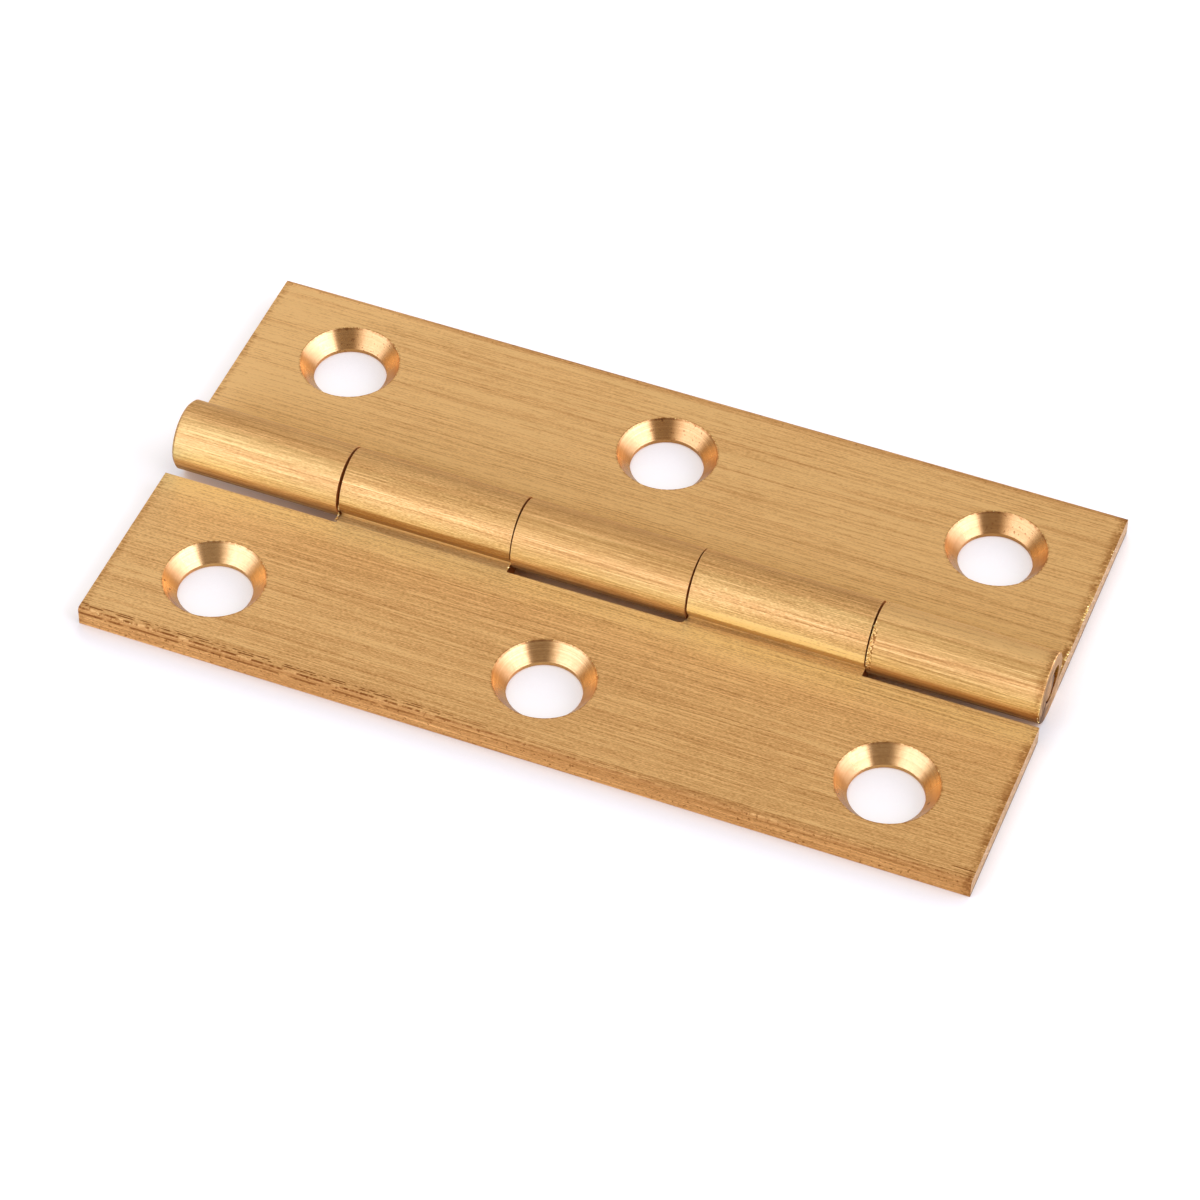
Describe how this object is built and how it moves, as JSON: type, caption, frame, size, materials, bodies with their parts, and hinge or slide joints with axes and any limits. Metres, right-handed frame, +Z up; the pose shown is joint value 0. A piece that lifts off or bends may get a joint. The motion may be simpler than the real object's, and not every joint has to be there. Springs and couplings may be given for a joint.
{
  "type": "butt hinge",
  "caption": "Small butt hinge laid open: plain brass leaves with countersunk screw holes, joined by rolled knuckles on a round pin.",
  "frame": {"origin": "middle of the open hinge's footprint, on the plane of the leaves' backs", "axes": "+X along the pin, +Y from the front leaf to the rear leaf, +Z up from the backs to the countersunk faces"},
  "size_m": [0.0636, 0.035, 0.005],
  "materials": {
    "leaf_brass": "brushed along the pin",
    "pin_brass": "cut end, dull"
  },
  "bodies": {
    "rear": {"rear_leaf": "leaf_brass", "hinge_pin": "pin_brass"},
    "front": {"front_leaf": "leaf_brass"}
  },
  "joints": [
    {"name": "pin_hinge", "type": "hinge", "parent": "rear", "child": "front", "pos_m": [0, -0.0005, 0.0025], "axis": [-1, 0, 0], "range_deg": [-94, 186]}
  ]
}
